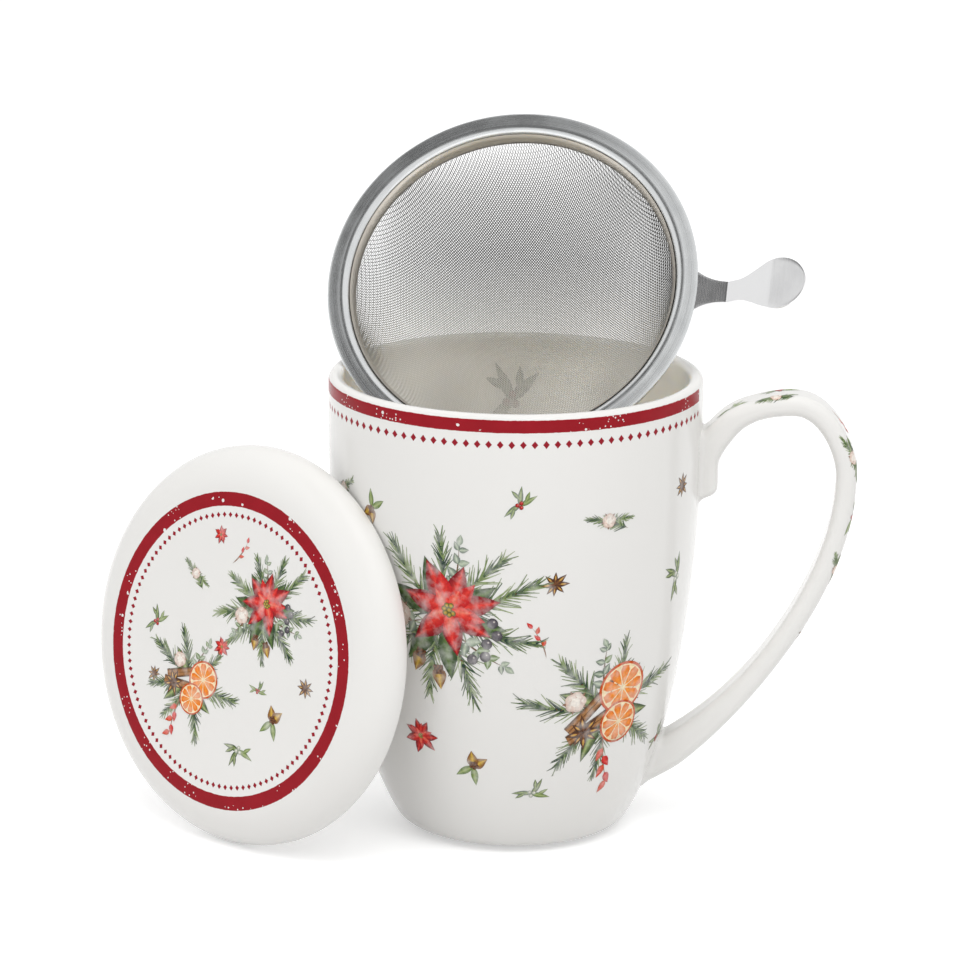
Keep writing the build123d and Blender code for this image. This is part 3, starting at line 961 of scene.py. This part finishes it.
def drawBark(sheet, at, way, length, width, level):
    # rolled stick of bark: two rolls side by side, darker in the fold between them
    for side in (-1, 1):
        def place(s, t):
            return at + way * complex((s - 0.5) * length, width * (0.27 * side + 0.27 * t))

        def tint(s, t):
            return blendInk("brownLight", "brownDark", abs(t + 0.35 * side) ** 1.5 * 0.75 + 0.1)
        patch(sheet, 5, 4, place, tint, level)
        curl = at + way * complex(length * 0.5, width * 0.27 * side)
        drawDisc(sheet, curl, width * 0.27, "brownDark", "brownLight", level + 1.2, sides=10)


def drawAnise(sheet, at, way, radius, level):
    # eight woody boats, each with a seed
    for i in range(8):
        heading = way * turnBy(45 * i + random.uniform(-6, 6))
        size = radius * random.uniform(0.85, 1.08)
        drawLeaf(sheet, at, heading, size, size * 0.4, "brown", "brownDark", level, blunt=0.7, columns=5)
        drawLeaf(sheet, at + heading * size * 0.34, heading, size * 0.42, size * 0.15, "gold", "brownLight",
                 level + 1.2, columns=4)


def drawCotton(sheet, at, way, radius, level):
    # open boll: dry husk points under white tufts
    for i in range(5):
        drawLeaf(sheet, at, way * turnBy(72 * i + 36), radius * 1.12, radius * 0.42, "taupe", "brown", level,
                 columns=5)
    for i in range(5):
        tuft = at + way * turnBy(72 * i) * radius * 0.42
        drawDisc(sheet, tuft, radius * 0.52, "cream", "blush", level + 2 + i * 0.3, lean=0.15 + 0.2j)
    drawDisc(sheet, at, radius * 0.4, "cream", "cream", level + 4)


def drawAcorn(sheet, at, way, size, level):
    drawLeaf(sheet, at, way, size, size * 0.72, "gold", "brown", level, blunt=0.62)

    def place(s, t):
        wide = size * 0.42 * sin(math.pi * (0.18 + 0.64 * s))
        along = size * 0.42 * (1 - t) / 2 - size * 0.12
        return at + way * complex(along, 0) + way * 1j * (s - 0.5) * 2 * wide

    def tint(s, t):
        return inks["brownDark" if (round(s * 8) + round(t * 2.5)) % 2 else "brown"]
    patch(sheet, 8, 5, place, tint, level + 1.2)


def drawHips(sheet, at, way, length, level, count):
    # arching twig with long red fruit
    drawLeaf(sheet, at, way, length, 0.4, "taupe", "brown", level, 0.25)
    for i in range(count):
        root = stalkAt(at, way, length, 0.25, 0.4 + 0.6 * i / (count - 1))
        heading = way * turnBy((38 if i % 2 else -30) + random.uniform(-8, 8))
        drawLeaf(sheet, root, heading, length * 0.24, length * 0.14, "redBright",
                 "red" if i % 2 else "orangeDeep", level + 1 + i * 0.3, blunt=0.72, columns=5)


def drawMistletoe(sheet, at, way, size, fruit, fruitEdge):
    # forked sprig of blunt paired leaves with three berries in the fork
    for fork in (-34, 30, 148):
        heading = way * turnBy(fork)
        tone = random.choice(("leaf", "leafDark", "silverDark"))
        drawLeaf(sheet, at, heading, size, size * 0.3, "leafPale", tone, 0, bend=random.uniform(-0.2, 0.2),
                 blunt=0.72)
        drawLeaf(sheet, at + heading * size * 0.3, heading * turnBy(44), size * 0.62, size * 0.22, "leafPale",
                 tone, 1)
    for i in range(3):
        drawBerry(sheet, at + way * turnBy(120 * i) * size * 0.13, size * 0.11, 3, fruit, fruitEdge)


def drawStarSpray(sheet, at, way, size):
    # wide spray: fir and silver twigs behind a red star, nuts, pearls and a boll beside it
    out = partial(outward, at, way, size)
    for angle, reach in ((8, 1.0), (38, 0.86), (72, 0.8), (118, 0.86), (158, 1.0), (196, 0.92), (236, 0.8),
                         (282, 0.88), (324, 0.94)):
        drawFir(sheet, *out(angle, 0.12), size * reach, random.uniform(-0.16, 0.2), 44,
                pale=0.2 if angle % 3 else 0.0)
    for angle in (54, 178, 300):
        drawSilverTwig(sheet, *out(angle, 0.2), size * 0.66, 4)
    for angle in (20, 92, 140, 215, 262, 338):
        drawLeaf(sheet, *out(angle, 0.1), size * 0.62, size * 0.24, "leaf", "leafDark", 8)
    drawStar(sheet, at + way * size * (0.1 + 0.08j), way, size * 0.56, 10)
    for turn, share in ((222, 0.52), (248, 0.6)):
        drawAcorn(sheet, out(turn, share)[0], way * turnBy(turn + 12), size * 0.26, 12)
    drawCotton(sheet, out(168, 0.56)[0], way, size * 0.17, 12)
    for i in range(5):
        drawBerry(sheet, out(292 + 13 * i, 0.56 + 0.07 * (i % 2))[0], size * 0.062, 14, "slatePale", "slate")


def drawFruitSpray(sheet, at, way, size):
    # slices of orange, bark and a seed star on fir
    out = partial(outward, at, way, size)
    for angle, reach in ((14, 1.0), (62, 0.8), (124, 0.86), (166, 1.0), (212, 0.82), (262, 0.76), (318, 0.9)):
        drawFir(sheet, *out(angle, 0.15), size * reach, random.uniform(-0.2, 0.2), 40, pale=0.1)
    drawHips(sheet, *out(262, 0.2), size * 0.85, 5, 5)
    drawSilverTwig(sheet, *out(96, 0.2), size * 0.7, 4, -0.2)
    for angle in (36, 140, 232, 338):
        drawLeaf(sheet, *out(angle, 0.15), size * 0.6, size * 0.22, "leafPale", "leafDark", 6, 0.15)
    drawBark(sheet, at - way * size * (0.22 - 0.1j), way * turnBy(38), size * 0.86, size * 0.16, 8)
    drawBark(sheet, at - way * size * (0.2 + 0.14j), way * turnBy(22), size * 0.8, size * 0.15, 10)
    drawSlice(sheet, at + way * size * (0.26 + 0.26j), way, size * 0.36, 11)
    drawSlice(sheet, at + way * size * (0.2 - 0.22j), way * turnBy(15), size * 0.3, 14)
    drawAnise(sheet, at - way * size * (0.34 + 0.22j), way, size * 0.25, 14)
    drawCotton(sheet, out(150, 0.5)[0], way, size * 0.16, 13)


def drawTwig(sheet, at, way, size):
    drawFir(sheet, at - way * size * 0.6, way, size * 1.15, 0.12, 46, 0.26, 0.15)
    drawFir(sheet, at, way * turnBy(-150), size * 0.62, -0.1, 24, 0.34, 0.3)
    drawCotton(sheet, at + way * size * 0.02, way, size * 0.2, 6)


def drawNuts(sheet, at, way, size):
    for turn in (-38, 24):
        drawLeaf(sheet, at, way * turnBy(turn + 180), size * 0.8, size * 0.3, "leafPale", "leaf", 0)
        drawAcorn(sheet, at, way * turnBy(turn), size * 0.62, 3)


drawings = {"spray": drawStarSpray, "fruit": drawFruitSpray, "twig": drawTwig, "nuts": drawNuts,
            "hips": partial(drawHips, level=0, count=4), "anise": partial(drawAnise, level=0),
            "star": partial(drawStar, level=0),
            "berries": partial(drawMistletoe, fruit="redBright", fruitEdge="redDeep"),
            "pearls": partial(drawMistletoe, fruit="cream", fruitEdge="silver")}


paintLook = {"grainScale": 1500, "grain": (0.7, 0.62), "washScale": 420, "washDetail": 4, "washStart": 0.42,
             "washGain": 1.3, "roughness": 0.32, "gloss": 0.12}


def buildPaintMaterial():
    # printed colour: uneven washes, darker grains, and a little of the clay showing through
    look = paintLook
    material, net, shader, spot = newMaterial("printedColour")
    tint = net.add("Attribute")
    tint.attribute_name = "tint"
    dark = net.scaled(net.noise(spot, look["grainScale"]), *look["grain"])
    bright = net.mix(1.0, tint.outputs["Color"], dark, "MULTIPLY")
    washes = net.noise(spot, look["washScale"], look["washDetail"])
    thin = net.math("SUBTRACT", washes, look["washStart"], clamp=True)
    thin = net.math("MULTIPLY", thin, look["washGain"], clamp=True)
    net.wire(shader, {"Base Color": net.mix(thin, bright, porcelainLook["clay"]),
                      "Roughness": look["roughness"], "Specular IOR Level": look["gloss"]})
    return material


paintMaterial = buildPaintMaterial()


def buildPrint(name, motifs, bendTo, body, place=None, radius=None, strength=1.0):
    # motifs are (drawing, across, height, turn, size); on a radius, across is an angle
    bm = bmesh.new()
    # strength scales every ink of a print; below 1 it is painted shade
    sheet = {"bm": bm, "tint": bm.verts.layers.float_color.new("tint"), "stretch": 1.0, "strength": strength}
    for kind, across, height, turn, size in motifs:
        if radius:
            sheet["stretch"] = radius / wallRadius(height)
            across = radians(across) * radius
        sheet["origin"] = complex(across, height)
        drawings[kind](sheet, 0j, turnBy(turn), size)
    bmesh.ops.remove_doubles(bm, verts=bm.verts, dist=1e-4)
    bmesh.ops.dissolve_degenerate(bm, edges=bm.edges, dist=1e-5)
    bmesh.ops.recalc_face_normals(bm, faces=bm.faces)
    for face in bm.faces:
        if face.normal.z < 0:
            face.normal_flip()
    bmesh.ops.solidify(bm, geom=bm.faces[:], thickness=paintForm["thickness"])
    for vert in bm.verts:
        vert.co = bendTo(*vert.co) * mm
    print(name, len(bm.faces), "faces")
    finishPiece(bm, name, paintMaterial, body, 80, place=place)


def rolled(u, v, reach, hand):
    angle = hand * u / mugForm["rimRadius"]
    return Vector((reach * cos(angle), reach * sin(angle), v))


def onMug(u, v, h):
    return rolled(u, v, wallRadius(v) + h, 1)


def inMug(u, v, h):
    return rolled(u, v, wallRadius(v, mugForm["wall"]) - h, -1)


def onLid(u, v, h):
    return Vector((u, v, lidForm["height"] + h))


def onHandle(u, v, h):
    # u runs along the handle from its bend; v goes across it and down over its rounded edges
    edge, share = handleForm["edge"], u / handleRun
    point, way = handleAt(share)
    flat, hand = handleForm["width"] / 2 - edge, (1 if v > 0 else -1)
    over = max(0.0, abs(v) - flat)
    angle = min(over / edge, math.pi / 2)
    across = hand * (min(abs(v), flat) + (edge + h) * sin(angle))
    out = strapThickness(share) / 2 - edge + (edge + h) * cos(angle) - (over - angle * edge)
    spot = point + Vector((-way.y, way.x)) * out
    return Vector((spot.x, across, spot.y))


mugMotifs = [
    ("spray", -108, 61, 14, 21.0), ("fruit", -52, 37, 8, 18.0), ("twig", -56, 84, 156, 9.5),
    ("berries", -84, 89, 60, 4.6), ("hips", -75, 52, 100, 8.0), ("nuts", -100, 24, 70, 6.5),
    ("pearls", -24, 66, 110, 6.0), ("anise", -73, 70, 0, 3.4), ("star", -120, 30, 0, 4.6),
    ("pearls", -78, 17, 20, 4.6), ("berries", -16, 24, 40, 4.4), ("anise", -24, 88, 0, 3.0),
    ("fruit", -164, 44, 30, 18.0), ("twig", -150, 86, 20, 9.0), ("nuts", -134, 84, 250, 6.0),
    ("spray", 128, 56, -20, 20.0), ("berries", 158, 88, 10, 4.6), ("hips", 166, 62, 80, 8.0),
    ("fruit", 66, 42, 12, 18.0), ("twig", 84, 84, 200, 9.0), ("pearls", 40, 84, 60, 5.0),
    ("anise", 98, 32, 0, 3.4), ("star", 36, 66, 0, 4.6), ("nuts", 100, 64, 120, 6.0),
    ("berries", 30, 24, 150, 4.6), ("pearls", 152, 24, 30, 5.0)]
lidMotifs = [
    ("spray", 9.5, 10.5, 32, 13.0), ("fruit", -11.5, -11.0, -24, 12.5), ("twig", -13, 15, 128, 7.0),
    ("nuts", 15.5, -14.5, 80, 6.0), ("berries", -24, 1.5, 60, 4.2), ("pearls", 6, -23.5, 200, 4.8),
    ("hips", -2, 19.5, 40, 6.5), ("anise", 24.5, -5, 0, 2.6), ("star", -2.5, -0.5, 0, 2.6),
    ("anise", -23, -11, 0, 2.2), ("berries", 10, -8.5, 20, 3.0), ("star", -6.5, 25.5, 0, 2.2)]
insideMotifs = [("berries", -96, 93, 80, 10.5), ("pearls", -262, 90, 30, 6.0)]
handleMotifs = [
    ("pearls", 15, -2.4, 20, 3.6), ("twig", 24.5, -3.6, 176, 6.4), ("berries", 25, 2.6, 40, 4.2),
    ("hips", 36, -0.5, 8, 5.0), ("twig", 45, -4.2, -6, 7.2), ("pearls", 48, 2.8, 100, 4.4),
    ("berries", 58.5, -3.4, 12, 4.6), ("twig", 62, 3.4, 168, 6.6), ("twig", 71, -3.8, 4, 6.6),
    ("pearls", 80, 1.4, 60, 4.4), ("anise", 88, -2.2, 0, 2.6)]
insidePaintedShade = 0.4     # inks darkened as painted shade of the cup's inside, to be seen through the cloth
mugRim = mugForm["rimRadius"]

buildPrint("mugPrint", mugMotifs, onMug, "mug", radius=mugRim)
buildPrint("insidePrint", insideMotifs, inMug, "mug", radius=mugRim, strength=insidePaintedShade)
buildPrint("lidPrint", lidMotifs, onLid, "lid_piece", lidPlace)
buildPrint("handlePrint", handleMotifs, onHandle, "mug")
print("prints made")


# floor, light and camera

studio = {"fill": 0.7, "mirrored": 0.95, "paper": (0.82, 0.82, 0.82, 1), "paperGlow": 0.42, "floorReach": 6,
          "floorDrop": 0.0002, "dark": 0.12,
          "screen": (("X", -0.57, -0.49), ("X", -0.02, -0.15), ("Y", 0.12, -0.1), ("Z", 0.35, 0.6))}
lamps = {"key": ((0.65, -0.95, 1.45), (0, 0, 0.06), (1.0, 1.0), 6.0),
         "side": ((-0.75, -1.1, 1.05), (0, 0, 0.07), (0.8, 1.0), 2.8),
         "top": ((0.0, -0.45, 1.5), (0, 0, 0.1), (1.0, 1.0), 6.8)}
cameraView = {"position": (70.18, -897.30, 320.15), "pitch": 14.742, "roll": 0.418, "yaw": 5.0,
              "lens": 147.72}
white = (1, 1, 1, 1)


def buildFloor():
    # paper that looks white, and lights the pieces no more than paper does
    material = bpy.data.materials.new("floorPaper")
    net, end = newTree(material, "Material")
    rays = net.add("LightPath").outputs
    mirrored = net.math("MAXIMUM", rays["Is Glossy Ray"], rays["Is Transmission Ray"])
    seen = net.math("MAXIMUM", rays["Is Camera Ray"], mirrored)
    paper = net.add("BsdfDiffuse", {"Color": studio["paper"]})
    glow = net.add("Emission", {"Color": white, "Strength": net.times(seen, studio["paperGlow"])})
    both = net.add("AddShader", {0: paper.outputs[0], 1: glow.outputs[0]})
    net.wire(end, {"Surface": both.outputs[0]})
    bm = bmesh.new()
    bmesh.ops.create_grid(bm, x_segments=1, y_segments=1, size=studio["floorReach"])
    floor = addObject("floor", meshFrom(bm, "floor", material))
    floor.location.z = -studio["floorDrop"]


def buildWorld():
    # even fill; what polish mirrors is white, but for one dark screen high up at the front
    fill, bright = studio["fill"], studio["mirrored"]
    world = bpy.data.worlds.new("studio")
    bpy.context.scene.world = world
    net, end = newTree(world, "World")
    rays = net.add("LightPath").outputs
    way = net.split(net.add("TexCoord").outputs["Generated"])
    dark = 1.0
    for axis, start, stop in studio["screen"]:
        dark = net.times(dark, net.ramp(way[axis], start, stop, "SMOOTHSTEP"))
    mirrored = net.scaled(dark, studio["dark"] - bright, bright)
    glossy = net.times(rays["Is Glossy Ray"], net.math("SUBTRACT", mirrored, fill))
    clear = net.math("MAXIMUM", rays["Is Camera Ray"], rays["Is Transmission Ray"])
    strength = net.math("ADD", fill, net.scaled(clear, 1.0 - fill, glossy))
    light = net.add("Background", {"Color": white, "Strength": strength})
    net.wire(end, {"Surface": light.outputs[0]})


def addLamp(name, position, target, size, power):
    data = bpy.data.lights.new(name, "AREA")
    data.shape = "RECTANGLE"
    data.size, data.size_y = size
    data.energy = power
    lamp = addObject(name, data)
    lamp.location = position
    lamp.rotation_euler = (Vector(target) - Vector(position)).to_track_quat("-Z", "Y").to_euler()
    lamp.visible_glossy = False


def buildCamera():
    yaw, pitch, roll = (radians(cameraView[k]) for k in ("yaw", "pitch", "roll"))
    turn = Matrix.Rotation(yaw, 3, "Z")
    forward = turn @ Vector((0, cos(pitch), -sin(pitch)))
    up = turn @ Vector((0, sin(pitch), cos(pitch)))
    right = turn @ Vector((1, 0, 0))
    rolledRight = right * cos(roll) + up * sin(roll)
    rolledUp = up * cos(roll) - right * sin(roll)
    data = bpy.data.cameras.new("view")
    data.lens = cameraView["lens"]
    data.sensor_width = 36
    data.clip_start, data.clip_end = 0.05, 30
    camera = addObject("view", data)
    turned = Matrix((rolledRight, rolledUp, -forward)).transposed().to_4x4()
    camera.matrix_world = Matrix.Translation(Vector(cameraView["position"]) * mm) @ turned
    bpy.context.scene.camera = camera


buildFloor()
buildWorld()
for lampName, settings in lamps.items():
    addLamp(lampName, *settings)
buildCamera()
bpy.context.scene.view_settings.view_transform = "Standard"
